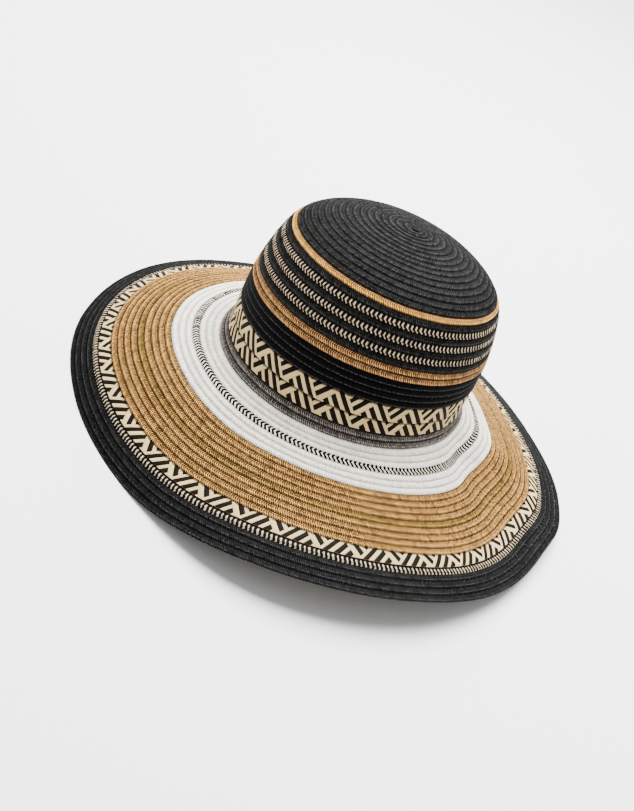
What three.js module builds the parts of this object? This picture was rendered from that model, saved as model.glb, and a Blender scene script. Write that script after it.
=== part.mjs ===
// Wide-brimmed sun hat of sewn paper-straw braid, in millimetres, +Z up.
//
// Rows of flat braid are sewn round and round from the middle of the tip to the rim, and the
// colour changes from band to band. Each band is one closed ring of wall, and every row in it
// stands a little proud of the next one, as lapped braid does. The hat rests on its rim.
import * as THREE from 'three';

// Driving dimensions

const base_radius = 92.6;      // outside of the crown where it meets the brim
const crown_height = 122.5;    // from the foot of the crown to the middle of the tip
const crown_lean = 7.5;        // sideways shift of the tip
const lean_azimuth_deg = 23;   // where it leans to, round from +X
const tip_dip_deg = 3.5;       // tilt of the tip
const dip_azimuth_deg = 70;    // its low side, at the back (+Y)
const tip_oval = 0.047;        // how much longer and narrower the tip is than a round one
const oval_azimuth_deg = -34;  // direction in which it is longer
const row = 5.0;               // one row of braid, edge to edge
const turn_row = 4.8;          // one grey row, where the crown turns into the brim
const upper_ribbon = 12.8;     // width of the first herringbone row round the crown
const lower_ribbon = 10.2;     // what shows of the second one, which the first laps over
const brim_ribbon = 10.0;      // what shows of the herringbone row in the brim
const whip_row = 4.6;          // width of the narrow striped row beside it
const turn_length = 4.5;       // reach of the bend each side of the crown's foot
const wall = 1.5;              // thickness of the braid
const lap = 0.5;               // how far the outer edge of a row stands over the next row
const seam = 0.3;              // gap from one band to the next
const rest_flat = 1.2;         // how much of the rim's lowest corners is pressed flat
const rest_lean_deg = 3.9;     // how far the hat leans when it stands on its rim
const raised_azimuth_deg = -62; // the side of the brim that then stands clear
const crown_sides = 32;        // facets round the crown
const brim_sides = 36;         // facets round the brim, before those added at the crease
const crease_sides = 2;        // facets halved on each side of the crease
const tip_bends = 6;           // steps across the inner face of the tip
const outline_steps = 600;     // steps in the measured length of the crown's outline
const path_steps = 24;         // steps in the sum that follows a slope out to a point

// Outline of the crown from the tip to its foot: height as a share of crown_height, and
// radius as a share of base_radius.
const crown_outline = [
  { height: 1.000, radius: 0.000 },
  { height: 0.996, radius: 0.205 },
  { height: 0.974, radius: 0.380 },
  { height: 0.928, radius: 0.582 },
  { height: 0.841, radius: 0.775 },
  { height: 0.749, radius: 0.872 },
  { height: 0.477, radius: 0.975 },
  { height: 0.300, radius: 0.994 },
  { height: 0.069, radius: 1.000 },
  { height: 0.000, radius: 1.032 },
];

// Fall of the brim below the horizontal, beside the crown and at the rim, every 30 degrees
// round from +X. The front left of the brim droops most.
const brim_falls = [
  { azimuth_deg: 0, at_crown_deg: 33.2, at_rim_deg: 16.2 },
  { azimuth_deg: 30, at_crown_deg: 29.3, at_rim_deg: 23.0 },
  { azimuth_deg: 60, at_crown_deg: 21.7, at_rim_deg: 24.1 },
  { azimuth_deg: 90, at_crown_deg: 19.2, at_rim_deg: 19.1 },
  { azimuth_deg: 120, at_crown_deg: 18.3, at_rim_deg: 20.7 },
  { azimuth_deg: 150, at_crown_deg: 12.4, at_rim_deg: 26.7 },
  { azimuth_deg: 180, at_crown_deg: 6.0, at_rim_deg: 41.0 },
  { azimuth_deg: 210, at_crown_deg: 3.0, at_rim_deg: 54.4 },
  { azimuth_deg: 240, at_crown_deg: 14.5, at_rim_deg: 46.2 },
  { azimuth_deg: 270, at_crown_deg: 15.0, at_rim_deg: 27.6 },
  { azimuth_deg: 300, at_crown_deg: 19.7, at_rim_deg: 21.1 },
  { azimuth_deg: 330, at_crown_deg: 34.3, at_rim_deg: 19.1 },
];

// The crease that runs out from the right of the crown and dies away. Across it the fall
// changes by turn, and along its middle by dip, at a share of the brim's width.
const crease_azimuth_deg = -8.7;
const crease_drift_deg = 2.9;  // how far it swings round by the rim
const crease_width_deg = 9.2;
const crease_folds = [
  { share: 0.0, turn_deg: -16.6, dip_deg: 15.9 },
  { share: 0.4, turn_deg: 3.0, dip_deg: -2.9 },
  { share: 1.0, turn_deg: -1.4, dip_deg: 5.4 },
];

// Bands from the tip to the rim. A band of narrow braid has rows, a wide row has a width. The creased
// one is split more finely at the crease, and the one that rests is flat where it touches.
const crown_bands = [
  { name: 'crown_tan_row', rows: 1, finish: 'tan' },
  { name: 'crown_black_row_1', rows: 1, finish: 'black' },
  { name: 'crown_stripe_row_1', rows: 1, finish: 'stripe' },
  { name: 'crown_black_row_2', rows: 1, finish: 'black' },
  { name: 'crown_stripe_row_2', rows: 1, finish: 'stripe' },
  { name: 'crown_black_row_3', rows: 1, finish: 'black' },
  { name: 'crown_stripe_row_3', rows: 1, finish: 'stripe' },
  { name: 'crown_black_row_4', rows: 1, finish: 'black' },
  { name: 'crown_tan_band', rows: 2, finish: 'tan' },
  { name: 'crown_black_band', rows: 4, finish: 'black' },
  { name: 'crown_ribbon_row_1', rows: 1, width: upper_ribbon, finish: 'ribbon' },
  { name: 'crown_ribbon_row_2', rows: 1, width: lower_ribbon, finish: 'ribbon' },
  { name: 'crown_grey_band', rows: 2, width: 2 * turn_row, finish: 'grey', bends: 3, creased: true },
];
const brim_bands = [
  { name: 'brim_white_inner', rows: 3, finish: 'white' },
  { name: 'brim_stripe_row', rows: 1, finish: 'stripe' },
  { name: 'brim_white_outer', rows: 3, finish: 'white' },
  { name: 'brim_tan_inner', rows: 4, finish: 'tan' },
  { name: 'brim_olive_row', rows: 1, finish: 'olive' },
  { name: 'brim_tan_outer', rows: 4, finish: 'tan' },
  { name: 'brim_ribbon', rows: 1, width: brim_ribbon, finish: 'ribbon' },
  { name: 'brim_whip_row', rows: 1, width: whip_row, finish: 'stripe' },
  { name: 'brim_black_edge', rows: 4, finish: 'black', rests: true },
];

const finishes = {
  black: { color: '#2e2e30', roughness: 0.72 },
  tan: { color: '#c69a62', roughness: 0.78 },
  olive: { color: '#a79a52', roughness: 0.78 },
  white: { color: '#ece8df', roughness: 0.7 },
  grey: { color: '#8b8580', roughness: 0.75 },
  stripe: { color: '#8d8778', roughness: 0.75 },
  ribbon: { color: '#a39a80', roughness: 0.75 },
};

// Lengths along the surface, from the middle of the tip outwards

const radians = THREE.MathUtils.degToRad;
const widthOf = (band) => band.width ?? band.rows * row;
const total = (bands) => bands.reduce((sum, band) => sum + widthOf(band), 0);

const outline = new THREE.CatmullRomCurve3(
  crown_outline.map((p) => new THREE.Vector3(p.radius * base_radius, 0, p.height * crown_height)),
  false,
  'centripetal',
);
outline.arcLengthDivisions = outline_steps;
const crown_length = outline.getLength();
const tip_length = crown_length - total(crown_bands);
const brim_length = total(brim_bands);

// The form of the hat

// A column of the brim's table at any azimuth, as a smooth closed curve through its rows.
function around(column, azimuth) {
  const count = brim_falls.length;
  const place = THREE.MathUtils.euclideanModulo(azimuth / (2 * Math.PI), 1) * count;
  const first = Math.floor(place);
  const t = place - first;
  const [a, b, c, d] = [-1, 0, 1, 2].map((k) => brim_falls[(first + k + count) % count][column]);
  return b + 0.5 * t * (c - a + t * (2 * a - 5 * b + 4 * c - d + t * (3 * (b - c) + d - a)));
}

// A column of the crease's table at a share of the brim's width, as one curve through its rows.
function alongCrease(column, share) {
  return crease_folds.reduce((sum, here) => {
    const others = crease_folds.filter((fold) => fold !== here);
    const weight = others.reduce((w, fold) => w * (share - fold.share) / (here.share - fold.share), 1);
    return sum + weight * here[column];
  }, 0);
}

// Fall of the brim in radians at a share of its width, crease included.
function fallAt(share, azimuth) {
  const at_crown = around('at_crown_deg', azimuth);
  const at_rim = around('at_rim_deg', azimuth);
  const plain = THREE.MathUtils.lerp(at_crown, at_rim, share);
  const away = azimuth - radians(crease_azimuth_deg + crease_drift_deg * share) + Math.PI;
  const turned = THREE.MathUtils.euclideanModulo(away, 2 * Math.PI) - Math.PI;
  const across = turned / radians(crease_width_deg);
  const near = Math.exp(-across * across / 2);
  // across * near peaks at exp(-1/2), so full brings the turn to its stated size there
  const full = Math.exp(0.5);
  const turn = alongCrease('turn_deg', share) * across * full;
  return radians(plain + (turn + alongCrease('dip_deg', share)) * near);
}

// A point of the crown at a length along the outline. The lean and the dip grow evenly from
// nothing at the foot to their full size at the tip, and the oval grows mostly near the tip.
function crownPoint(length, azimuth) {
  const p = outline.getPointAt(Math.min(length / crown_length, 1));
  const share = p.z / crown_height;
  const oval = 1 + tip_oval * share * share * Math.cos(2 * (azimuth - radians(oval_azimuth_deg)));
  const x = p.x * oval * Math.cos(azimuth);
  const y = p.x * oval * Math.sin(azimuth);
  const low_side = radians(dip_azimuth_deg);
  const dip = (x * Math.cos(low_side) + y * Math.sin(low_side)) * Math.tan(radians(tip_dip_deg));
  const lean = crown_lean * share;
  const lean_to = radians(lean_azimuth_deg);
  return new THREE.Vector3(x + lean * Math.cos(lean_to), y + lean * Math.sin(lean_to), p.z - dip * share);
}

// A point of the brim at a length out from the crown's foot.
function brimPoint(length, azimuth) {
  const p = crownPoint(crown_length, azimuth);
  const step = length / path_steps;
  let out = 0;
  for (let i = 0; i < path_steps; i++) {
    const fall = fallAt((i + 0.5) * step / brim_length, azimuth);
    out += step * Math.cos(fall);
    p.z -= step * Math.sin(fall);
  }
  p.x += out * Math.cos(azimuth);
  p.y += out * Math.sin(azimuth);
  return p;
}

// A point of the outer face. Near the foot of the crown a curve joins crown and brim.
function surfacePoint(length, azimuth) {
  const past = length - crown_length;
  if (past <= -turn_length) return crownPoint(length, azimuth);
  if (past >= turn_length) return brimPoint(past, azimuth);
  const bend = new THREE.QuadraticBezierCurve3(
    crownPoint(crown_length - turn_length, azimuth),
    crownPoint(crown_length, azimuth),
    brimPoint(turn_length, azimuth),
  );
  return bend.getPoint((past + turn_length) / (2 * turn_length));
}

// Outward normal of the surface. In the middle of the tip it is taken from two directions.
function normalAt(length, azimuth) {
  const reach = 0.2;
  const from = Math.max(length - reach, 0);
  const along = surfacePoint(length + reach, azimuth).sub(surfacePoint(from, azimuth));
  const pole = length < reach;
  const round = pole
    ? surfacePoint(reach, azimuth + Math.PI / 2).sub(surfacePoint(0, azimuth))
    : surfacePoint(length, azimuth + 0.01).sub(surfacePoint(length, azimuth - 0.01));
  return along.cross(round).normalize();
}

function placeAt(length, height, azimuth) {
  return surfacePoint(length, azimuth).addScaledVector(normalAt(length, azimuth), height);
}

// Rings of wall

const crease_azimuth = radians(crease_azimuth_deg);

function evenAzimuths(sides) {
  return Array.from({ length: sides }, (_, i) => crease_azimuth + (i + 0.5) * 2 * Math.PI / sides);
}

// Even azimuths with the gaps beside the crease halved.
function creasedAzimuths(sides) {
  const step = 2 * Math.PI / sides;
  const list = evenAzimuths(sides);
  for (let i = -crease_sides; i <= crease_sides; i++) {
    list.push(THREE.MathUtils.euclideanModulo(i, sides) * step + crease_azimuth);
  }
  return list.sort((a, b) => a - b);
}

// Section of a band as points of length and height: rows that rise to their outer edge, and
// a plain inner face with a few bends.
function bandSection(start, band) {
  const from = start + seam / 2;
  const to = start + widthOf(band) - seam / 2;
  const pitch = (to - from) / band.rows;
  const bends = band.bends ?? 1;
  const points = [];
  for (let i = 0; i < band.rows; i++) {
    const steps = band.rows === 1 ? bends : 1;
    for (let j = 0; j <= steps; j++) {
      points.push([from + (i + j / steps) * pitch, lap * (j / steps - 0.5)]);
    }
  }
  for (let i = 0; i <= bends; i++) points.push([to + (from - to) * i / bends, -wall]);
  return points;
}

// Section of the tip, from the middle of its outer face round to the middle of its inner one.
function tipSection() {
  const to = tip_length - seam / 2;
  const rows = Math.round(tip_length / row);
  const pitch = to / rows;
  const points = [[0, lap / 2]];
  for (let i = 1; i <= rows; i++) {
    points.push([i * pitch, lap / 2]);
    if (i < rows) points.push([i * pitch, -lap / 2]);
  }
  for (let i = 0; i <= tip_bends; i++) points.push([to * (1 - i / tip_bends), -wall]);
  return points;
}

// A closed ring of quads through the section at each azimuth. A point at length 0 is a pole.
function ringGeometry(section, azimuths, place) {
  const positions = [];
  const rings = section.map(([length, height]) => {
    const many = length > 0 ? azimuths : [0];
    return many.map((azimuth) => {
      positions.push(...place(length, height, azimuth).toArray());
      return positions.length / 3 - 1;
    });
  });
  const at = (ring, i) => ring[i % ring.length];
  const index = [];
  const poles = section[0][0] === 0;
  const edges = poles ? section.length - 1 : section.length;
  for (let e = 0; e < edges; e++) {
    const [a, b] = [rings[e], rings[(e + 1) % rings.length]];
    for (let i = 0; i < azimuths.length; i++) {
      const j = (i + 1) % azimuths.length;
      if (b.length > 1) index.push(at(a, i), at(b, i), at(b, j));
      if (a.length > 1) index.push(at(a, i), at(b, j), at(a, j));
    }
  }
  const geometry = new THREE.BufferGeometry();
  geometry.setAttribute('position', new THREE.Float32BufferAttribute(positions, 3));
  geometry.setIndex(index);
  geometry.computeVertexNormals();
  return geometry;
}

// The surface that the hat rests on, seen from the hat: a plane across the rim's lowest
// corners, square to the up direction that the lean gives.
const up = new THREE.Vector3(0, 0, 1)
  .applyAxisAngle(new THREE.Vector3(0, 1, 0), radians(rest_lean_deg))
  .applyAxisAngle(new THREE.Vector3(0, 0, 1), radians(raised_azimuth_deg));
const rim_length = crown_length + brim_length - seam / 2;
const rim_azimuths = creasedAzimuths(brim_sides);
const lowest = Math.min(...rim_azimuths.flatMap((azimuth) => [
  placeAt(rim_length, lap / 2, azimuth).dot(up),
  placeAt(rim_length, -wall, azimuth).dot(up),
]));
const rest_height = lowest + rest_flat;

// A point of the rim's band, brought up to the resting plane where it would pass through it.
function placeOnRest(length, height, azimuth) {
  const p = placeAt(length, height, azimuth);
  return p.addScaledVector(up, Math.max(rest_height - p.dot(up), 0));
}

// Pieces

function piece(name, geometry, finish) {
  const material = new THREE.MeshStandardMaterial({ ...finishes[finish], metalness: 0 });
  const mesh = new THREE.Mesh(geometry, material);
  mesh.name = name;
  return mesh;
}

function makeCrown() {
  const crown = new THREE.Group();
  const azimuths = evenAzimuths(crown_sides);
  crown.add(piece('crown_tip', ringGeometry(tipSection(), azimuths, placeAt), 'black'));
  let start = tip_length;
  for (const band of crown_bands) {
    const ring = ringGeometry(bandSection(start, band), band.creased ? rim_azimuths : azimuths, placeAt);
    crown.add(piece(band.name, ring, band.finish));
    start += widthOf(band);
  }
  return crown;
}

function makeBrim() {
  const brim = new THREE.Group();
  let start = crown_length;
  for (const band of brim_bands) {
    const place = band.rests ? placeOnRest : placeAt;
    const ring = ringGeometry(bandSection(start, band), rim_azimuths, place);
    brim.add(piece(band.name, ring, band.finish));
    start += widthOf(band);
  }
  return brim;
}

const hat = new THREE.Group();
hat.add(makeCrown(), makeBrim());
hat.quaternion.setFromUnitVectors(up, new THREE.Vector3(0, 0, 1));

// The origin is on the resting surface, under the middle of the hat's outline.
const middle = new THREE.Box3().setFromObject(hat, true).getCenter(new THREE.Vector3());
hat.position.set(-middle.x, -middle.y, -rest_height);

export default hat;
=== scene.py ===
import math

import bmesh
import bpy
import numpy as np
from mathutils import Matrix, Vector


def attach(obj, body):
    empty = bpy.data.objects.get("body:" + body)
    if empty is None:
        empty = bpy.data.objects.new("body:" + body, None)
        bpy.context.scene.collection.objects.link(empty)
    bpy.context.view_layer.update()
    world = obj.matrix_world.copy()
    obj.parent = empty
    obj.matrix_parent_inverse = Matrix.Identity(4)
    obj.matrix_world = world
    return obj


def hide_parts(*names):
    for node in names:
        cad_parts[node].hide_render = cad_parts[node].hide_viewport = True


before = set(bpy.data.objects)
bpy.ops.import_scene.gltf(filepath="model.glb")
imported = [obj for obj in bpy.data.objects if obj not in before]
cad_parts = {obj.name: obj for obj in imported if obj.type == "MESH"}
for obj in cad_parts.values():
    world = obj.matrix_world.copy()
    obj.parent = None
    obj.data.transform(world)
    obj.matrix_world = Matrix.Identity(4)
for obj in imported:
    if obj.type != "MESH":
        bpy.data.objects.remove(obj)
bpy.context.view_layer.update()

# Crown tip
# Black paper-straw braid, sewn as one spiral from the middle of the tip, each round lapping over
# the next one. The braid is two columns of strands that meet in a row of Vs. The hat's outer
# face, from the tip to the rim, comes first here, because every later row is laid on it too.

base_radius = 0.0926
crown_height = 0.1225
crown_lean = 0.0075
lean_azimuth = math.radians(23)
tip_dip = math.radians(3.5)
dip_azimuth = math.radians(70)
tip_oval = 0.047
oval_azimuth = math.radians(-34)
row = 0.005
turn_row = 0.0048
upper_ribbon = 0.0128
lower_ribbon = 0.0102   # what shows of it below the upper one
brim_ribbon = 0.010
whip_row = 0.0046
turn_length = 0.0045    # how far the bend at the foot reaches up the crown and out on the brim

# height as a share of crown_height, radius as a share of base_radius
crown_outline = (
    (1.000, 0.000), (0.996, 0.205), (0.974, 0.380), (0.928, 0.582), (0.841, 0.775),
    (0.749, 0.872), (0.477, 0.975), (0.300, 0.994), (0.069, 1.000), (0.000, 1.032),
)
# fall of the brim in degrees beside the crown and at the rim, every 30 degrees from +X
brim_falls = (
    (33.2, 16.2), (29.3, 23.0), (21.7, 24.1), (19.2, 19.1), (18.3, 20.7), (12.4, 26.7),
    (6.0, 41.0), (3.0, 54.4), (14.5, 46.2), (15.0, 27.6), (19.7, 21.1), (34.3, 19.1),
)
# share of the brim's width, turn across the crease and dip along it, in degrees
crease_folds = ((0.0, -16.6, 15.9), (0.4, 3.0, -2.9), (1.0, -1.4, 5.4))
crease_azimuth = -8.7
crease_drift = 2.9
crease_width = 9.2
rest_lean = math.radians(3.9)
raised_azimuth = math.radians(-62)
crown_foot = Vector((-0.00133, 0.00151, 0.05227))   # its middle, as the hat rests

crown_rows = 14   # rows of the common width between the tip and the turn
brim_rows = 20
crown_band = row * crown_rows + upper_ribbon + lower_ribbon + 2 * turn_row
brim_length = row * brim_rows + brim_ribbon + whip_row


def smooth_line(points, steps):
    """Centripetal curve through the points of an outline, as a fine row of points."""
    p = [np.array(q, float) for q in points]
    p = [2 * p[0] - p[1]] + p + [2 * p[-1] - p[-2]]
    found = []
    for i in range(1, len(p) - 2):
        a, b, c, d = p[i - 1:i + 3]
        u, v, w = [np.sum((m - n) ** 2) ** 0.25 for m, n in ((a, b), (b, c), (c, d))]
        start = ((b - a) / u - (c - a) / (u + v) + (c - b) / v) * v
        end = ((c - b) / v - (d - b) / (v + w) + (d - c) / w) * v
        t = np.linspace(0, 1, steps, endpoint=False)[:, None]
        found.append(
            b + start * t + (3 * c - 3 * b - 2 * start - end) * t ** 2
            + (2 * b - 2 * c + start + end) * t ** 3
        )
    return np.vstack(found + [p[-2][None]])


outline_steps = 200
outline_points = [(r * base_radius, h * crown_height) for h, r in crown_outline]
outline = smooth_line(outline_points, outline_steps)
outline_length = np.r_[0, np.cumsum(np.linalg.norm(np.diff(outline, axis=0), axis=1))]
crown_length = outline_length[-1]
tip_length = crown_length - crown_band


def around(column, azimuth):
    """A column of the brim's table at any azimuth, as a smooth closed curve in degrees."""
    place = azimuth / (2 * np.pi) % 1 * len(brim_falls)
    first = np.floor(place).astype(int)
    t = place - first
    values = np.array([fall[column] for fall in brim_falls])
    a, b, c, d = [values[(first + k) % len(values)] for k in (-1, 0, 1, 2)]
    return b + 0.5 * t * (c - a + t * (2 * a - 5 * b + 4 * c - d + t * (3 * (b - c) + d - a)))


def along_crease(column, share):
    """A column of the crease's table at a share of the brim's width."""
    found = 0
    for here in crease_folds:
        weight = 1
        for other in crease_folds:
            if other is not here:
                weight = weight * (share - other[0]) / (here[0] - other[0])
        found = found + weight * here[column]
    return found


def fall_at(share, azimuth):
    """Fall of the brim in radians at a share of its width, crease included."""
    plain = around(0, azimuth) * (1 - share) + around(1, azimuth) * share
    away = azimuth - np.radians(crease_azimuth + crease_drift * share)
    across = ((away + np.pi) % (2 * np.pi) - np.pi) / math.radians(crease_width)
    turn = along_crease(1, share) * across * math.exp(0.5)
    return np.radians(plain + (turn + along_crease(2, share)) * np.exp(-across ** 2 / 2))


def crown_point(length, azimuth):
    """Points of the crown, with its lean, its oval and the dip of its tip."""
    height = np.interp(length, outline_length, outline[:, 1])
    share = height / crown_height
    oval = 1 + tip_oval * share ** 2 * np.cos(2 * (azimuth - oval_azimuth))
    radius = np.interp(length, outline_length, outline[:, 0]) * oval
    x, y = radius * np.cos(azimuth), radius * np.sin(azimuth)
    dip = (x * math.cos(dip_azimuth) + y * math.sin(dip_azimuth)) * math.tan(tip_dip) * share
    lean_x, lean_y = crown_lean * math.cos(lean_azimuth), crown_lean * math.sin(lean_azimuth)
    return np.stack([x + lean_x * share, y + lean_y * share, height - dip], -1)


def brim_point(length, azimuth, steps=24):
    """Points of the brim at a length out from the crown's foot."""
    foot = crown_point(crown_length, azimuth)
    step = length / steps
    out, drop = 0, 0
    for i in range(steps):
        fall = fall_at((i + 0.5) * step / brim_length, azimuth)
        out = out + step * np.cos(fall)
        drop = drop + step * np.sin(fall)
    return foot + np.stack([out * np.cos(azimuth), out * np.sin(azimuth), -drop], -1)


def outer_face(length, azimuth):
    """Points of the outer face, crown and brim joined by a short curve at the foot."""
    past = length - crown_length
    t = np.clip((past + turn_length) / (2 * turn_length), 0, 1)[..., None]
    bend = (
        (1 - t) ** 2 * crown_point(crown_length - turn_length, azimuth)
        + 2 * t * (1 - t) * crown_point(crown_length, azimuth)
        + t ** 2 * brim_point(turn_length, azimuth)
    )
    on_crown = (past <= -turn_length)[..., None]
    on_brim = (past >= turn_length)[..., None]
    brim = brim_point(np.maximum(past, 0), azimuth)
    return np.where(on_crown, crown_point(length, azimuth), np.where(on_brim, brim, bend))


# The face as a fine net: a point and a normal at each millimetre out and each degree round.
net_step = 0.001
net_sides = 360
rings_past_rim = 4
net_rings = int((crown_length + brim_length) / net_step) + rings_past_rim
lean_up = Vector((0, 0, 1))
lean_up.rotate(Matrix.Rotation(rest_lean, 3, "Y"))
lean_up.rotate(Matrix.Rotation(raised_azimuth, 3, "Z"))
stand = lean_up.rotation_difference(Vector((0, 0, 1))).to_matrix()
net_length, net_azimuth = np.meshgrid(
    np.arange(net_rings) * net_step, np.arange(net_sides) * 2 * np.pi / net_sides, indexing="ij"
)
net = outer_face(net_length, net_azimuth) @ np.array(stand).T + np.array(crown_foot)
net_out = np.gradient(net, axis=0)
net_round = (np.roll(net, -1, axis=1) - np.roll(net, 1, axis=1)) / 2
net_normal = np.cross(net_out, net_round)
net_normal /= np.maximum(np.linalg.norm(net_normal, axis=-1, keepdims=True), 1e-12)
# the net comes together in the middle of the tip, where its own normals are of no use
net_normal[0] = net_normal[2].mean(axis=0)
net_normal[1] = (net_normal[0] + net_normal[2]) / 2
floor_gap = 0.0001


def on_hat(length, azimuth, height):
    """Points at a length out, an azimuth round and a height off the hat's outer face."""
    a = np.clip(length / net_step, 0, net_rings - 1.001)
    b = azimuth / (2 * np.pi) % 1 * net_sides
    i, j = a.astype(int), b.astype(int) % net_sides
    u, v = (a - i)[:, None], (b - np.floor(b))[:, None]
    k = (j + 1) % net_sides

    def blended(table):
        inner = table[i, j] * (1 - v) + table[i, k] * v
        outer = table[i + 1, j] * (1 - v) + table[i + 1, k] * v
        return inner * (1 - u) + outer * u

    normal = blended(net_normal)
    normal /= np.linalg.norm(normal, axis=-1, keepdims=True)
    points = blended(net) + normal * height[:, None]
    points[:, 2] = np.maximum(points[:, 2], floor_gap)
    return points


def pick_points(strand, keep):
    """In edit mode, selects the points of a mesh whose place passes the test."""
    shape = bmesh.from_edit_mesh(strand.data)
    for point in shape.verts:
        point.select_set(bool(keep(point.co)))
    shape.select_flush(True)
    bmesh.update_edit_mesh(strand.data)


tucked_end = (0.72, 1, 0.3)   # width, length and height of a strand's end, as a share
blunt_end = (1, 1, 0.5)


def strand_pad(tag, width, length, columns, rows, dome, turn, place, under=False, blunt=False):
    """A strand as it shows between two crossings: a pad with round sides and tucked ends."""
    bpy.ops.object.select_all(action="DESELECT")
    bpy.ops.mesh.primitive_grid_add(x_subdivisions=columns, y_subdivisions=rows, size=1)
    strand = bpy.context.object
    bpy.ops.object.mode_set(mode="EDIT")
    bpy.ops.mesh.select_mode(type="VERT")
    side = -1 if under else 1
    for i in range(1, columns):
        across = 2 * i / columns - 1
        pick_points(strand, lambda p: abs(2 * p.x - across) < 1e-3)
        bpy.ops.transform.translate(value=(0, 0, side * dome * math.sqrt(1 - across ** 2)))
    pick_points(strand, lambda p: abs(p.y) > 0.499)
    bpy.ops.transform.resize(value=blunt_end if blunt else tucked_end)
    bpy.ops.mesh.select_all(action="SELECT")
    if under:
        bpy.ops.mesh.flip_normals()
    bpy.ops.transform.resize(value=(width, length, 1))
    bpy.ops.transform.rotate(value=turn, orient_axis="Z", center_override=(0, 0, 0))
    bpy.ops.transform.translate(value=place)
    bpy.ops.object.mode_set(mode="OBJECT")
    bpy.ops.object.shade_smooth()
    mark = strand.data.attributes.new("strand", "INT", "POINT")
    mark.data.foreach_set("value", np.full(len(strand.data.vertices), tag, np.int32))
    return strand


def join_pieces(pieces, name):
    """Joins meshes into the first one and names it."""
    bpy.ops.object.select_all(action="DESELECT")
    for piece in pieces:
        piece.select_set(True)
    bpy.context.view_layer.objects.active = pieces[0]
    if len(pieces) > 1:
        bpy.ops.object.join()
    pieces[0].name = name
    pieces[0].data.name = name
    return pieces[0]


braid_pitch = 0.0016    # from one V of the braid to the next
tuck = 0.0010           # how far a row goes in under the last one
lip = 0.0002            # how far it stands over the next one
braid_half = 0.00036    # half the thickness of the braid
end_overlap = 0.0002
under_overlap = 0.0009  # the strands of the under side are longer and wider, so no gap shows
under_width = 1.1


def braid_stitch(name, meeting, visible, inner_degrees, outer_degrees, fullness=0.98):
    """One V of flat braid: a strand in each column, on the upper and on the under side."""
    inner_turn, outer_turn = math.radians(-inner_degrees), math.radians(outer_degrees)
    middles = ((meeting - tuck) / 2, (meeting + visible + lip) / 2)
    tall = (meeting + tuck, visible + lip - meeting)
    pads = []
    for column, turn in enumerate((inner_turn, outer_turn)):
        shift = tall[column] / 2 * math.tan(abs(turn))
        length = tall[column] / math.cos(turn) + end_overlap
        place = (shift, middles[column], 0)
        width = braid_pitch * fullness * math.cos(turn)
        pads.append(strand_pad(
            column, width, length, columns=2, rows=3, dome=braid_half, turn=turn, place=place
        ))
        width = braid_pitch * under_width * math.cos(turn)
        length = length + under_overlap
        pads.append(strand_pad(
            column, width, length, columns=2, rows=1, dome=braid_half, turn=turn, place=place,
            under=True, blunt=True
        ))
    return join_pieces(pads, name)


def strip_of(unit, name, pitch, count):
    """A straight strip: copies of one unit, each a pitch on from the last."""
    strip = unit.copy()
    strip.data = unit.data.copy()
    strip.name = name
    bpy.context.scene.collection.objects.link(strip)
    bpy.ops.object.select_all(action="DESELECT")
    strip.select_set(True)
    bpy.context.view_layer.objects.active = strip
    repeat = strip.modifiers.new("repeat", "ARRAY")
    repeat.fit_type = "FIXED_COUNT"
    repeat.count = count
    repeat.use_relative_offset = False
    repeat.use_constant_offset = True
    repeat.constant_offset_displace = (pitch, 0, 0)
    bpy.ops.object.modifier_apply(modifier=repeat.name)
    return strip


def turn_faces_over():
    """Turns the faces of the active mesh the other way."""
    bpy.ops.object.mode_set(mode="EDIT")
    bpy.ops.mesh.select_all(action="SELECT")
    bpy.ops.mesh.flip_normals()
    bpy.ops.object.mode_set(mode="OBJECT")


def points_of(piece):
    """The points of a mesh as an array."""
    found = np.zeros(len(piece.data.vertices) * 3)
    piece.data.vertices.foreach_get("co", found)
    return found.reshape(-1, 3)


def set_points(piece, points):
    """Moves the points of a mesh."""
    piece.data.vertices.foreach_set("co", points.astype(np.float32).ravel())
    piece.data.update()


def set_value(piece, name, values):
    """Stores one number a point on a mesh."""
    layer = piece.data.attributes.get(name) or piece.data.attributes.new(name, "FLOAT", "POINT")
    layer.data.foreach_set("value", values.astype(np.float32))


# height of a row from its tucked edge to its lip, where its highest part lies on the face
row_rise = (-0.00125, -0.00105, -0.00050, 0.0, -0.00008, -0.00030)


def braid_profile(y, visible):
    """Height of the middle of a row: it comes out from under the last row, rises, and rolls off."""
    places = [-tuck, 0, 0.3 * visible, 0.68 * visible, visible, visible + lip]
    return np.interp(y, places, row_rise)


def unit_numbers(piece, unit):
    """For each point, which copy of the unit it is in and which strand of that copy."""
    size = len(unit.data.vertices)
    count = len(piece.data.vertices)
    tags = np.zeros(count, np.int32)
    piece.data.attributes["strand"].data.foreach_get("value", tags)
    return np.arange(count) // size, tags


def dye_and_shade(strip, unit, strands, chance):
    """Colours each strand: which of two dyes it has, and how light it came out."""
    copy, strand = unit_numbers(strip, unit)
    number = copy * strands + strand
    set_value(strip, "shade", chance.uniform(-1, 1, number.max() + 1)[number])
    set_value(strip, "dye", ((strands == 4) & (strand < 2)).astype(float))
    return number


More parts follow.
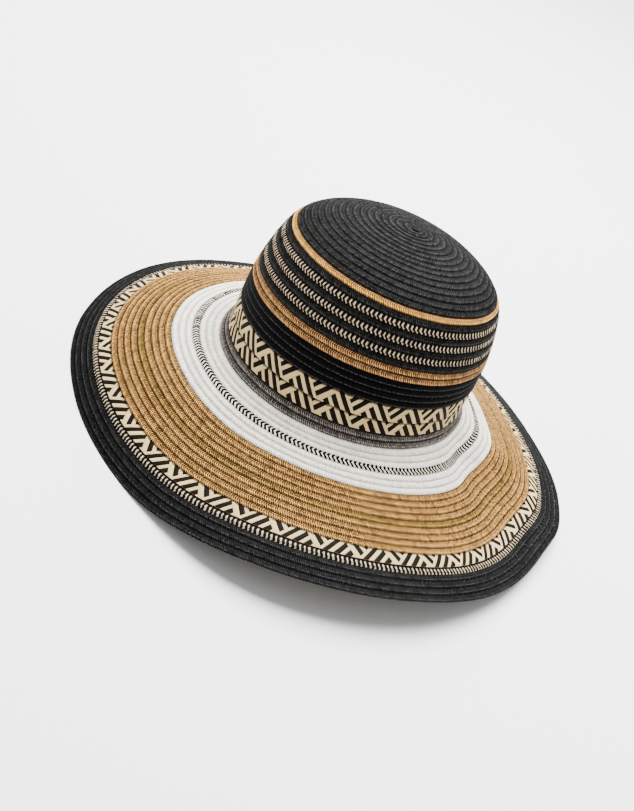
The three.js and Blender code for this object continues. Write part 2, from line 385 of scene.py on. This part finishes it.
thread_pitch = 0.0034
thread_run = (0.0025, 0.00042)   # length and width of what shows of the thread
thread_rise = 0.00012
thread_share = 0.9               # where it runs, as a share of the row's width
thread_height = braid_half * 0.72
thread_slip = 0.0002
thread_wander = 0.00008
bpy.ops.object.select_all(action="DESELECT")
bpy.ops.mesh.primitive_grid_add(x_subdivisions=1, y_subdivisions=2, size=1)
thread_dash = bpy.context.object
thread_dash.name = "thread_dash"
bpy.ops.object.mode_set(mode="EDIT")
bpy.ops.mesh.select_mode(type="VERT")
pick_points(thread_dash, lambda p: abs(p.y) < 0.1)
bpy.ops.transform.translate(value=(0, 0, thread_rise))
bpy.ops.mesh.select_all(action="SELECT")
bpy.ops.transform.resize(value=(*thread_run, 1))
bpy.ops.object.mode_set(mode="OBJECT")
bpy.ops.object.shade_smooth()
thread_dash.data.attributes.new("strand", "INT", "POINT")


def thread_line(name, distance, place_on, visible, chance):
    """The sewing thread as it shows by a row's outer edge, in short runs."""
    count = int(distance / thread_pitch)
    strip = strip_of(thread_dash, name, thread_pitch, count)
    p = points_of(strip)
    run = np.arange(len(p)) // len(thread_dash.data.vertices)
    p[:, 0] += chance.normal(0, thread_slip, count)[run]
    y = p[:, 1] + thread_share * visible + chance.normal(0, thread_wander, count)[run]
    height = p[:, 2] + braid_profile(y, visible) + thread_height
    set_value(strip, "shade", chance.uniform(-1, 1, count)[run])
    set_value(strip, "dye", np.full(len(p), 2.0))
    set_value(strip, "edge", np.zeros(len(p)))
    set_points(strip, place_on(p[:, 0], y, height))
    return strip


seam_shade = 0.0026     # how far out the shade of the seam is reckoned
strand_lift = 0.00004   # how unevenly the strands lie
braid_lean = (26, 32)   # degrees that the strands of the inner and outer column lean
meeting_share = 0.55    # where the two columns meet, as a share of the row
plain_stitch = braid_stitch("plain_stitch", meeting_share * row, row, *braid_lean)
spiral_start = math.radians(17.5)
spiral_steps = 6000
first_turn = 0.55
spare_turns = 1.3
narrowest = 0.0002               # the last round ends where it shows no more than this
coil_shift = (0.0036, -0.0004)   # the coil's middle is off the middle of the tip
coil_reach = 0.009
open_turns = 11      # turns that widen evenly, before the rounds begin to close up
closing_turns = 4
front_turn = 0.382   # part of a turn at which a closed round has its even place
step_start = 0.64    # part of a turn at which a closed round steps out, and for how long
step_length = 0.4
step_lag = 0.04


def outer_turn_edge(turn):
    """Length out of the outer edge of the spiral. Its last rounds close up into rings."""
    late = np.clip((turn - open_turns) / closing_turns, 0, 1)
    whole = np.floor(turn - step_lag)
    step = np.clip((turn - whole - step_start) / step_length, 0, 1)
    ring = whole + front_turn + step * step * (3 - 2 * step)
    return np.minimum(row * (turn + late * (ring - turn)), tip_length)


def sew_spiral(unit, name, seed):
    """The tip: one braid wound outwards, whose last round narrows to nothing."""
    chance = np.random.default_rng(seed)
    turns = np.linspace(first_turn, tip_length / row + spare_turns, spiral_steps)
    outer = outer_turn_edge(turns)
    inner = np.where(turns > 1, outer_turn_edge(np.maximum(turns - 1, 0)), 0)
    turns, outer, inner = (v[inner < tip_length - narrowest] for v in (turns, outer, inner))
    middle = np.maximum((outer + inner) / 2, 0.001)
    radius = np.interp(middle, outline_length, outline[:, 0])
    travelled = np.r_[0, np.cumsum((radius[1:] + radius[:-1]) / 2 * np.diff(turns) * 2 * np.pi)]
    count = int(travelled[-1] / braid_pitch)
    strip = strip_of(unit, name, braid_pitch, count)
    number = dye_and_shade(strip, unit, 2, chance)
    p = points_of(strip)

    def place_on(x, y, height):
        turn = np.interp(x, travelled, turns)
        edges = np.interp(x, travelled, inner), np.interp(x, travelled, outer)
        length = np.maximum(edges[0] + y / row * (edges[1] - edges[0]), 0.0001)
        azimuth = spiral_start - turn * 2 * np.pi
        shifted = np.exp(-(length / coil_reach) ** 2)
        a = length * np.cos(azimuth) + coil_shift[0] * shifted
        b = length * np.sin(azimuth) + coil_shift[1] * shifted
        return on_hat(np.hypot(a, b), np.arctan2(b, a), height)

    lift = chance.normal(0, strand_lift, number.max() + 1)[number]
    # the edge value marks where the painted shade of the seam falls, where this row comes out from
    # under the last one
    set_value(strip, "edge", np.clip(1 - p[:, 1] / seam_shade, 0, 1))
    set_points(strip, place_on(p[:, 0], p[:, 1], p[:, 2] + lift + braid_profile(p[:, 1], row)))
    thread = thread_line(name + "_thread", travelled[-1], place_on, row, chance)
    piece = join_pieces([strip, thread], name)
    turn_faces_over()   # the spiral runs the other way round than the strip was made
    return piece


fibre_stretch = (9, 1.6, 1)     # fibres run along a strand
fibre_shift = (7.3, 3.1)        # so that no two strands have the same ones
fibre_light = 0.5
fibre_roughness = 0.3
patch_scale = 38.0              # slow changes of the dye over the hat
patch_light = 0.35
end_delay = 0.12                # the painted shade at the ends of a strand, where it goes under the next, starts later and is weaker than on its sides
end_shade = 0.45
# painted shade of the seam between rows: it fades in between these two edge values
seam_shade_from, seam_shade_to = 0.28, 0.5
least_light = 0.03


def straw_group():
    """Fibre and dye of one strand of paper straw, with painted shade in the seams between rows and
    between the strands, shared by all the braids.
    """
    group = bpy.data.node_groups.new("straw", "ShaderNodeTree")
    face = group.interface
    for name in ("Dye", "Second Dye", "Thread"):
        face.new_socket(name, in_out="INPUT", socket_type="NodeSocketColor")
    for name, value in (
        ("Unevenness", 0.1), ("Roughness", 0.6), ("Fibre", 1.0), ("Painted Seam Shade", 0.5),
        ("Groove Shade", 0.6), ("Groove Start", 0.2), ("Groove End", 0.42),
    ):
        face.new_socket(name, in_out="INPUT", socket_type="NodeSocketFloat").default_value = value
    face.new_socket("Color", in_out="OUTPUT", socket_type="NodeSocketColor")
    face.new_socket("Roughness", in_out="OUTPUT", socket_type="NodeSocketFloat")
    face.new_socket("Height", in_out="OUTPUT", socket_type="NodeSocketFloat")
    make, link = group.nodes.new, group.links.new
    given = make("NodeGroupInput")
    result = make("NodeGroupOutput")

    def attribute(name):
        node = make("ShaderNodeAttribute")
        node.attribute_name = name
        return node.outputs["Fac"]

    def maths(operation, a, b=None, clamp=False):
        node = make("ShaderNodeMath")
        node.operation = operation
        node.use_clamp = clamp
        for socket, value in zip(node.inputs, (a, b)):
            if isinstance(value, (int, float)):
                socket.default_value = value
            elif value is not None:
                link(value, socket)
        return node.outputs[0]

    def mixed(factor, a, b, blend="MIX"):
        node = make("ShaderNodeMix")
        node.data_type = "RGBA"
        node.blend_type = blend
        for name, value in (("Factor", factor), ("A", a), ("B", b)):
            socket = next(s for s in node.inputs if s.name == name and s.enabled)
            if hasattr(value, "is_linked"):
                link(value, socket)
            else:
                socket.default_value = value
        return next(s for s in node.outputs if s.enabled)

    uv = make("ShaderNodeUVMap")
    uv.uv_map = "UVMap"
    stretched = make("ShaderNodeMapping")
    stretched.inputs["Scale"].default_value = fibre_stretch
    link(uv.outputs[0], stretched.inputs[0])
    shifted = make("ShaderNodeVectorMath")
    shifted.operation = "ADD"
    link(stretched.outputs[0], shifted.inputs[0])
    shift = make("ShaderNodeCombineXYZ")
    link(maths("MULTIPLY", attribute("shade"), fibre_shift[0]), shift.inputs[0])
    link(maths("MULTIPLY", attribute("shade"), fibre_shift[1]), shift.inputs[2])
    link(shift.outputs[0], shifted.inputs[1])
    fibre = make("ShaderNodeTexNoise")
    fibre.inputs["Scale"].default_value = 1.0
    fibre.inputs["Detail"].default_value = 3.0
    link(shifted.outputs[0], fibre.inputs["Vector"])

    def ranged(value, start, end):
        node = make("ShaderNodeMapRange")
        node.interpolation_type = "SMOOTHSTEP"
        link(value, node.inputs["Value"])
        for socket, limit in (("From Min", start), ("From Max", end)):
            if isinstance(limit, float):
                node.inputs[socket].default_value = limit
            else:
                link(limit, node.inputs[socket])
        return node.outputs["Result"]

    # painted shade on the sides of each strand, where shade falls in the gaps between strands, and
    # weaker at its ends
    across = make("ShaderNodeSeparateXYZ")
    link(uv.outputs[0], across.inputs[0])
    off_middle = [
        maths("ABSOLUTE", maths("SUBTRACT", across.outputs[i], 0.5)) for i in (0, 1)
    ]
    side = ranged(off_middle[0], given.outputs["Groove Start"], given.outputs["Groove End"])
    end_start = maths("ADD", given.outputs["Groove Start"], end_delay)
    end = ranged(off_middle[1], end_start, maths("ADD", end_start, end_delay))
    pit_shade = maths("MAXIMUM", side, maths("MULTIPLY", end, end_shade))
    groove_shade = maths("MULTIPLY", pit_shade, given.outputs["Groove Shade"])
    place = make("ShaderNodeTexCoord")
    patch = make("ShaderNodeTexNoise")
    patch.inputs["Scale"].default_value = patch_scale
    patch.inputs["Detail"].default_value = 3.0
    link(place.outputs["Object"], patch.inputs["Vector"])
    is_thread = maths("GREATER_THAN", attribute("dye"), 1.5)
    second = maths("MINIMUM", attribute("dye"), 1.0)
    dyed = mixed(second, given.outputs["Dye"], given.outputs["Second Dye"])
    dyed = mixed(is_thread, dyed, given.outputs["Thread"])
    groove_shade = maths("MULTIPLY", groove_shade, maths("SUBTRACT", 1.0, is_thread))
    spread = maths("MULTIPLY", attribute("shade"), given.outputs["Unevenness"])
    patchy = maths("MULTIPLY", maths("SUBTRACT", patch.outputs["Fac"], 0.5), patch_light)
    grain = maths("MULTIPLY", maths("SUBTRACT", fibre.outputs["Fac"], 0.5), fibre_light)
    light = maths("ADD", maths("ADD", spread, patchy), maths("ADD", grain, 1.0))
    # painted shade of the seam, where a row comes out from under the last one
    seam = ranged(attribute("edge"), seam_shade_from, seam_shade_to)
    dark = maths("MULTIPLY", seam, given.outputs["Painted Seam Shade"])
    light = maths("MULTIPLY", light, maths("SUBTRACT", 1.0, dark))
    # the painted shade between the strands darkens the straw here
    light = maths("MULTIPLY", light, maths("SUBTRACT", 1.0, groove_shade))
    light = maths("MAXIMUM", light, least_light)
    tone = make("ShaderNodeCombineColor")
    for i in range(3):
        link(light, tone.inputs[i])
    link(mixed(1.0, dyed, tone.outputs[0], "MULTIPLY"), result.inputs["Color"])
    rough = maths("ADD", given.outputs["Roughness"], maths("MULTIPLY", grain, fibre_roughness))
    link(maths("ADD", rough, 0.0, clamp=True), result.inputs["Roughness"])
    link(maths("MULTIPLY", fibre.outputs["Fac"], given.outputs["Fibre"]), result.inputs["Height"])
    return group


straw = straw_group()
straw_shine = 0.03
fibre_relief = 0.0002
fibre_bump = 0.35
deep_groove_shade = (0.96, 0.06, 0.32)   # how dark the painted shade on a strand's sides is, and where it starts and ends


def straw_material(
    name, dye, second=None, unevenness=0.1, roughness=0.6, painted_seam_shade=0.96, groove_shade=deep_groove_shade,
    thread=None,
):
    """A paper straw in one dye or two, with the thread that it is sewn with, and painted shade in
    its seams and between its strands.
    """
    material = bpy.data.materials.new(name)
    material.use_nodes = True
    nodes, link = material.node_tree.nodes, material.node_tree.links.new
    shader = nodes["Principled BSDF"]
    strand = nodes.new("ShaderNodeGroup")
    strand.node_tree = straw
    strand.inputs["Dye"].default_value = (*dye, 1)
    strand.inputs["Second Dye"].default_value = (*(second or dye), 1)
    strand.inputs["Thread"].default_value = (*(thread or second or dye), 1)
    for socket, value in zip(("Groove Shade", "Groove Start", "Groove End"), groove_shade):
        strand.inputs[socket].default_value = value
    strand.inputs["Unevenness"].default_value = unevenness
    strand.inputs["Roughness"].default_value = roughness
    strand.inputs["Painted Seam Shade"].default_value = painted_seam_shade
    link(strand.outputs["Color"], shader.inputs["Base Color"])
    link(strand.outputs["Roughness"], shader.inputs["Roughness"])
    bump = nodes.new("ShaderNodeBump")
    bump.inputs["Strength"].default_value = fibre_bump
    bump.inputs["Distance"].default_value = fibre_relief
    link(strand.outputs["Height"], bump.inputs["Height"])
    link(bump.outputs["Normal"], shader.inputs["Normal"])
    shader.inputs["Specular IOR Level"].default_value = straw_shine
    return material


def finish_piece(piece, node, material):
    """Gives a sewn piece its straw and says which solid it stands for."""
    piece.data.materials.clear()
    piece.data.materials.append(material)
    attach(piece, "root")
    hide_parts(node)


charcoal = (0.0275, 0.027, 0.0265)
black_straw = straw_material("black_straw", charcoal, unevenness=0.75, painted_seam_shade=0.97)
tip = sew_spiral(plain_stitch, "tip_spiral", 11)
finish_piece(tip, "crown_tip", black_straw)


# Light tan row
# One row of the same braid in light tan straw, sewn round below the spiral. It is the first of
# the closed rounds, each of which lies over the start of the next one.

light_tan = (0.84, 0.42, 0.105)
light_tan_straw = straw_material(
    "light_tan_straw", light_tan, unevenness=0.35, groove_shade=(0.93, 0.08, 0.36)
)


def measured_round(length):
    """Azimuths of one round of the hat and the distance travelled to each of them."""
    azimuth = np.linspace(0, 2 * np.pi, net_sides * 2 + 1)
    ring = on_hat(np.full(azimuth.size, length), azimuth, np.zeros(azimuth.size))
    steps = np.linalg.norm(np.diff(ring, axis=0), axis=1)
    return azimuth, np.r_[0, np.cumsum(steps)]


row_wander = 0.00005   # small waves in the line of a row
wave_counts = (5, 9, 14, 23)
stripe_slip = 0.00016


def sew_round(unit, name, start, visible, seed, striped=False):
    """One closed round of braid, laid on the hat from a length out."""
    chance = np.random.default_rng(seed)
    azimuths, travelled = measured_round(start + visible / 2)
    strands = 4 if striped else 2
    pitch = braid_pitch * strands / 2
    count = round(travelled[-1] / pitch)
    strip = strip_of(unit, name, pitch, count)
    number = dye_and_shade(strip, unit, strands, chance)
    p = points_of(strip)
    first = chance.random() * travelled[-1]
    waves = chance.random(len(wave_counts)) * 2 * np.pi

    def place_on(x, y, height):
        distance = (x * travelled[-1] / (count * pitch) + first) % travelled[-1]
        azimuth = np.interp(distance, travelled, azimuths)
        wander = sum(np.sin(azimuth * k + w) for k, w in zip(wave_counts, waves)) * row_wander
        return on_hat(start + y + wander, azimuth, height)

    lift = chance.normal(0, strand_lift, number.max() + 1)[number]
    if striped:
        p[:, 0] += chance.normal(0, stripe_slip, number.max() // 2 + 1)[number // 2]
    # the edge value marks where the painted shade of the seam falls, where this row comes out from
    # under the last one
    set_value(strip, "edge", np.clip(1 - p[:, 1] / seam_shade, 0, 1))
    set_points(strip, place_on(p[:, 0], p[:, 1], p[:, 2] + lift + braid_profile(p[:, 1], visible)))
    thread = thread_line(name + "_thread", count * pitch, place_on, visible, chance)
    return join_pieces([strip, thread], name)


def sew_band(node, start, rows, unit, material, seed, striped=False, visible=row):
    """A band of closed rounds, each lapping over the next. Returns where the band ends."""
    rounds = []
    for i in range(rows):
        name = f"{node}_round_{i + 1}"
        rounds.append(sew_round(unit, name, start + i * visible, visible, seed * 100 + i, striped))
    piece = join_pieces(rounds, node + "_braid")
    finish_piece(piece, node, material)
    return start + rows * visible


at = tip_length
at = sew_band("crown_tan_row", at, 1, plain_stitch, light_tan_straw, 12)


# Black and striped rows of the crown
# Four black rows with three striped ones between them. A striped row is black braid in which
# every second strand is a thinner cream one.

cream = (0.62, 0.49, 0.33)
stripe_black = (0.004, 0.0035, 0.003)
stripe_straw = straw_material(
    "stripe_straw", stripe_black, cream, 0.08, groove_shade=(0.6, 0.38, 0.5), thread=(0.01, 0.01, 0.01)
)


def striped_stitch(name, meeting, visible, inner_degrees, outer_degrees, fullness, proud):
    """A light V and, beside it, a fuller dark one that stands proud of it."""
    light, dark = [
        braid_stitch(name, meeting, visible, inner_degrees, outer_degrees, share)
        for share in fullness
    ]
    tags = np.zeros(len(dark.data.vertices), np.int32)
    dark.data.attributes["strand"].data.foreach_get("value", tags)
    dark.data.attributes["strand"].data.foreach_set("value", tags + 2)
    bpy.ops.object.mode_set(mode="EDIT")
    bpy.ops.mesh.select_all(action="SELECT")
    bpy.ops.transform.translate(value=(braid_pitch, 0, proud))
    bpy.ops.object.mode_set(mode="OBJECT")
    return join_pieces([light, dark], name)


stripe_fullness = (0.66, 1.34)   # width of the cream and of the black strands
stripe_proud = 0.00016           # how far the black ones stand over the cream ones
stripe_stitch = striped_stitch(
    "stripe_stitch", 0.76 * row, row, 9, 50, stripe_fullness, stripe_proud
)

for i in (1, 2, 3):
    at = sew_band(f"crown_black_row_{i}", at, 1, plain_stitch, black_straw, 12 + i)
    at = sew_band(
        f"crown_stripe_row_{i}", at, 1, stripe_stitch, stripe_straw, 16 + i, True
    )
at = sew_band("crown_black_row_4", at, 1, plain_stitch, black_straw, 20)


# Tan band of the crown
# Two rows of tan braid, a little warmer than those of the brim, sewn with tan thread.

warm_tan = (0.70, 0.36, 0.135)
tan_thread = (0.46, 0.24, 0.08)
warm_tan_straw = straw_material("warm_tan_straw", warm_tan, unevenness=0.5, thread=tan_thread)
at = sew_band("crown_tan_band", at, 2, plain_stitch, warm_tan_straw, 21)


# Black band of the crown
# Four rows of deep black braid above the wide herringbone rows. Their thread is grey and shows.

deep_black = (0.0088, 0.0085, 0.0087)
grey_thread = (0.05, 0.05, 0.053)
band_straw = straw_material(
    "black_band_straw", deep_black, unevenness=0.35, painted_seam_shade=0.97, thread=grey_thread
)
at = sew_band("crown_black_band", at, 4, plain_stitch, band_straw, 22)


# Herringbone rows of the crown
# Two rows of a wide braid, of cream and black strands 4 mm wide. Its long strands cross over
# the ends of the short ones. The second row shows less, since the first laps over it.

ribbon_period = 0.0274
ribbon_width = 0.0128
down_slope = 0.82   # run to the right of a strand for each step down
up_slope = -0.77    # run of the strands that go the other way
# In millimetres: left and right edge at the upper edge of the braid, how far it stands proud,
# whether it is black, and whether it ends at the long cream strand of the other way.
per_metre = 1000
down_strands = (
    (6.2, 9.2, 0.10, False, False),
    (2.4, 6.5, 0.20, True, False),
    (-1.2, 2.8, 0.10, False, False),
    (-5.6, -0.9, 0.10, True, True),
    (-9.05, -5.1, 0.0, False, True),
    (-13.5, -8.6, 0.10, True, True),
    (-17.0, -13.0, 0.0, False, True),
)
up_strands = (
    (26.6, 31.6, 0.05, False, True),
    (22.2, 26.9, 0.10, True, True),
    (18.6, 22.4, 0.0, False, True),
    (14.7, 18.8, 0.10, True, True),
    (11.6, 15.0, 0.0, False, True),
    (8.2, 11.8, 0.10, True, True),
)
long_up_edge = 0.0042     # right edge of the long cream strand that the downward ones end at
long_down_edge = 0.0092   # right edge of the cream strand that the upward ones end at
ribbon_half = 0.00024     # half the thickness of a strand
ribbon_back = -0.0004
strand_reach = (-0.003, 0.016)   # strands start and end past the edges, and are cut there


def ribbon_repeat():
    """One repeat of the wide braid, each strand cut where it goes under the one across it."""
    pads = []
    dark = []
    groups = (
        (down_strands, down_slope, long_up_edge, up_slope),
        (up_strands, up_slope, long_down_edge, down_slope),
    )
    for strands, slope, across_edge, across_slope in groups:
        turn = math.atan(slope)
        middle = sum(strand_reach) / 2
        length = (strand_reach[1] - strand_reach[0]) / math.cos(turn)
        for left, right, proud, is_black, ends in strands:
            centre = (left + right) / 2 / per_metre + slope * middle
            wide = (right - left) / per_metre * math.cos(turn)
            place = (centre, middle, proud / per_metre)
            pad = strand_pad(
                len(dark), wide, length, columns=4, rows=8, dome=ribbon_half, turn=turn,
                place=place, blunt=True
            )
            if ends:
                bpy.ops.object.mode_set(mode="EDIT")
                bpy.ops.mesh.select_all(action="SELECT")
                bpy.ops.mesh.bisect(
                    plane_co=(across_edge, 0, 0), plane_no=(1, -across_slope, 0), clear_inner=True
                )
                bpy.ops.object.mode_set(mode="OBJECT")
            pads.append(pad)
            dark.append(is_black)
    bpy.ops.object.select_all(action="DESELECT")
    bpy.ops.mesh.primitive_grid_add(x_subdivisions=6, y_subdivisions=2, size=1)
    back = bpy.context.object
    bpy.ops.object.mode_set(mode="EDIT")
    bpy.ops.mesh.select_all(action="SELECT")
    bpy.ops.mesh.flip_normals()
    bpy.ops.transform.resize(value=(ribbon_period, ribbon_width, 1))
    bpy.ops.transform.translate(value=(ribbon_period / 2, ribbon_width / 2, ribbon_back))
    bpy.ops.object.mode_set(mode="OBJECT")
    mark = back.data.attributes.new("strand", "INT", "POINT")
    mark.data.foreach_set("value", np.zeros(len(back.data.vertices), np.int32))
    unit = join_pieces(pads + [back], "ribbon_repeat")
    bpy.ops.object.mode_set(mode="EDIT")
    for edge, outer in ((0, False), (ribbon_width, True)):
        bpy.ops.mesh.select_all(action="SELECT")
        bpy.ops.mesh.bisect(
            plane_co=(0, edge, 0), plane_no=(0, 1, 0), clear_inner=not outer, clear_outer=outer
        )
    bpy.ops.object.mode_set(mode="OBJECT")
    return unit, np.array(dark)


ribbon_unit, ribbon_dark = ribbon_repeat()
ribbon_cream = (0.58, 0.43, 0.21)
ribbon_black = (0.006, 0.0045, 0.003)
ribbon_straw = straw_material(
    "ribbon_straw", ribbon_cream, ribbon_black, 0.05, groove_shade=(0.5, 0.42, 0.5), painted_seam_shade=0.8
)
ribbon_rise = (-0.00125, -0.00100, -0.00045, 0.0, -0.00012)


def sew_ribbon(node, start, visible, first_azimuth, turned_over, seed):
    """A closed round of the wide braid. What the row above covers lies before the start."""
    chance = np.random.default_rng(seed)
    azimuths, travelled = measured_round(start + visible / 2)
    repeats = round(travelled[-1] / ribbon_period)
    strip = strip_of(ribbon_unit, node + "_braid", ribbon_period, repeats)
    copy, strand = unit_numbers(strip, ribbon_unit)
    number = copy * len(ribbon_dark) + strand
    set_value(strip, "shade", chance.uniform(-1, 1, number.max() + 1)[number])
    set_value(strip, "dye", ribbon_dark[strand].astype(float))
    p = points_of(strip)
    if turned_over:
        p[:, 0] = -p[:, 0]
        turn_faces_over()
    y = p[:, 1] - (ribbon_width - visible)
    distance = p[:, 0] * travelled[-1] / (repeats * ribbon_period)
    distance = (distance + np.interp(first_azimuth, azimuths, travelled)) % travelled[-1]
    places = [visible - ribbon_width - 0.0001, 0, 0.0018, 0.7 * visible, visible]
    rise = np.interp(y, places, ribbon_rise)
    # the edge value marks where the painted shade of the seam falls, where this row comes out from
    # under the last one
    set_value(strip, "edge", np.clip(1 - y / seam_shade, 0, 1))
    set_points(strip, on_hat(start + y, np.interp(distance, travelled, azimuths), p[:, 2] + rise))
    finish_piece(strip, node, ribbon_straw)
    return start + visible


first_repeat = math.radians(252.0)
row_offset = 0.0032   # the second row's pattern is this much further round
at = sew_ribbon("crown_ribbon_row_1", at, upper_ribbon, first_repeat, False, 31)
second_repeat = first_repeat + row_offset / base_radius
at = sew_ribbon("crown_ribbon_row_2", at, lower_ribbon, second_repeat, False, 32)


# Grey rows at the turn
# Two rows of grey braid where the crown bends out into the brim.

warm_grey = (0.25, 0.22, 0.195)
grey_straw = straw_material("grey_straw", warm_grey, unevenness=0.5, roughness=0.7, painted_seam_shade=0.93)
turn_stitch = braid_stitch("turn_stitch", meeting_share * turn_row, turn_row, *braid_lean)
at = sew_band(
    "crown_grey_band", at, 2, turn_stitch, grey_straw, 41, visible=turn_row
)


# White rows of the brim
# Three white rows, one white row with black dashes, and three more white rows. The dashes are
# every second strand of the braid, dyed black and broader than the white ones.

off_white = (0.93, 0.88, 0.76)
white_straw = straw_material(
    "white_straw", off_white, unevenness=0.16, painted_seam_shade=0.66, groove_shade=(0.5, 0.26, 0.48),
    thread=(0.42, 0.37, 0.31)
)
dash_white = (0.88, 0.83, 0.70)
dash_black = (0.005, 0.004, 0.003)
dash_straw = straw_material(
    "dash_straw", dash_black, dash_white, 0.05, painted_seam_shade=0.55, groove_shade=(0.3, 0.3, 0.5), thread=dash_white
)
dash_fullness = (0.72, 1.40)
dash_proud = 0.0003
dash_stitch = striped_stitch("dash_stitch", 0.58 * row, row, 20, 42, dash_fullness, dash_proud)

at = sew_band("brim_white_inner", at, 3, plain_stitch, white_straw, 51)
at = sew_band("brim_stripe_row", at, 1, dash_stitch, dash_straw, 52, True)
at = sew_band("brim_white_outer", at, 3, plain_stitch, white_straw, 53)


# Tan rows of the brim
# Four tan rows, a single olive one and four more tan rows, all of the plain braid.

brim_tan = (0.69, 0.35, 0.092)
tan_straw = straw_material(
    "tan_straw", brim_tan, unevenness=0.58, groove_shade=(0.97, 0.04, 0.30), thread=tan_thread
)
olive = (0.38, 0.22, 0.048)
olive_straw = straw_material("olive_straw", olive, unevenness=0.55)

at = sew_band("brim_tan_inner", at, 4, plain_stitch, tan_straw, 54)
at = sew_band("brim_olive_row", at, 1, plain_stitch, olive_straw, 55)
at = sew_band("brim_tan_outer", at, 4, plain_stitch, tan_straw, 56)


# Herringbone row of the brim
# One row of the wide braid of the crown, turned over, so that its pattern leans the other way.

turned_radius = 0.185
turned_offset = 0.0183
turned_repeat = math.radians(262.4) + turned_offset / turned_radius
at = sew_ribbon("brim_ribbon", at, brim_ribbon, turned_repeat, True, 57)


# Edge of the brim
# A narrow row with black and cream cross stripes, and four rows of black braid. The last one
# is the rim, with the ends of its strands along it.

whip_fullness = (0.60, 1.42)
whip_stitch = striped_stitch(
    "whip_stitch", 0.62 * whip_row, whip_row, 5, 22, whip_fullness, stripe_proud
)
edge_black = (0.0205, 0.0203, 0.02)
dark_straw = straw_material(
    "dark_straw", edge_black, unevenness=0.7, painted_seam_shade=0.97, thread=(0.03, 0.03, 0.03)
)
at = sew_band(
    "brim_whip_row", at, 1, whip_stitch, stripe_straw, 58, True, whip_row
)
at = sew_band("brim_black_edge", at, 4, plain_stitch, dark_straw, 59)

# the single stitches have all been copied by now
for unit in (
    plain_stitch, stripe_stitch, turn_stitch, dash_stitch, whip_stitch, thread_dash, ribbon_unit
):
    bpy.data.objects.remove(unit)


# Floor, light and camera
# A plain pale floor, soft light from above and the sides, and the camera at the photo's angle.

floor_size = 14.0
floor_white = (0.9, 0.9, 0.9, 1)
sky_strength = 0.72
bpy.ops.object.select_all(action="DESELECT")
bpy.ops.mesh.primitive_plane_add(size=floor_size, location=(0, 0, 0))
floor = bpy.context.object
floor.name = "floor"
pale = bpy.data.materials.new("pale_floor")
pale.use_nodes = True
pale.node_tree.nodes["Principled BSDF"].inputs["Base Color"].default_value = floor_white
pale.node_tree.nodes["Principled BSDF"].inputs["Roughness"].default_value = 0.8
floor.data.materials.append(pale)

world = bpy.data.worlds.new("studio")
bpy.context.scene.world = world
world.use_nodes = True
world.node_tree.nodes["Background"].inputs["Color"].default_value = (1, 1, 1, 1)
world.node_tree.nodes["Background"].inputs["Strength"].default_value = sky_strength


def soft_box(name, place, aim, size, power):
    """A square studio lamp that faces a point."""
    lamp = bpy.data.lights.new(name, "AREA")
    lamp.shape = "SQUARE"
    lamp.size = size
    lamp.energy = power
    shown = bpy.data.objects.new(name, lamp)
    bpy.context.scene.collection.objects.link(shown)
    shown.location = place
    shown.rotation_euler = (Vector(aim) - Vector(place)).to_track_quat("-Z", "Y").to_euler()


soft_box("key_light", (0.0, 0.65, 1.6), (0, 0, 0.05), 1.6, 208)

view_height = math.radians(31.59)
view_roll = math.radians(23)
view_distance = 0.976
view_target = Vector((-0.0064, 0, -0.04075))
focal_pixels = 1274
long_side = 811   # of the photo's 634 by 811 pixels
ahead = Vector((0, math.cos(view_height), -math.sin(view_height)))
above = Vector((0, math.sin(view_height), math.cos(view_height)))
aside = Vector((1, 0, 0))
camera_x = aside * math.cos(view_roll) + above * math.sin(view_roll)
camera_y = -aside * math.sin(view_roll) + above * math.cos(view_roll)
axes = Matrix((camera_x, camera_y, -ahead)).transposed()
place = stand @ (view_target - ahead * view_distance) + crown_foot
lens = bpy.data.cameras.new("camera")
lens.sensor_width = 36
lens.lens = focal_pixels / long_side * lens.sensor_width
lens.clip_start = 0.01
lens.clip_end = 50
camera = bpy.data.objects.new("camera", lens)
bpy.context.scene.collection.objects.link(camera)
camera.matrix_world = Matrix.Translation(place) @ (stand @ axes).to_4x4()
bpy.context.scene.camera = camera
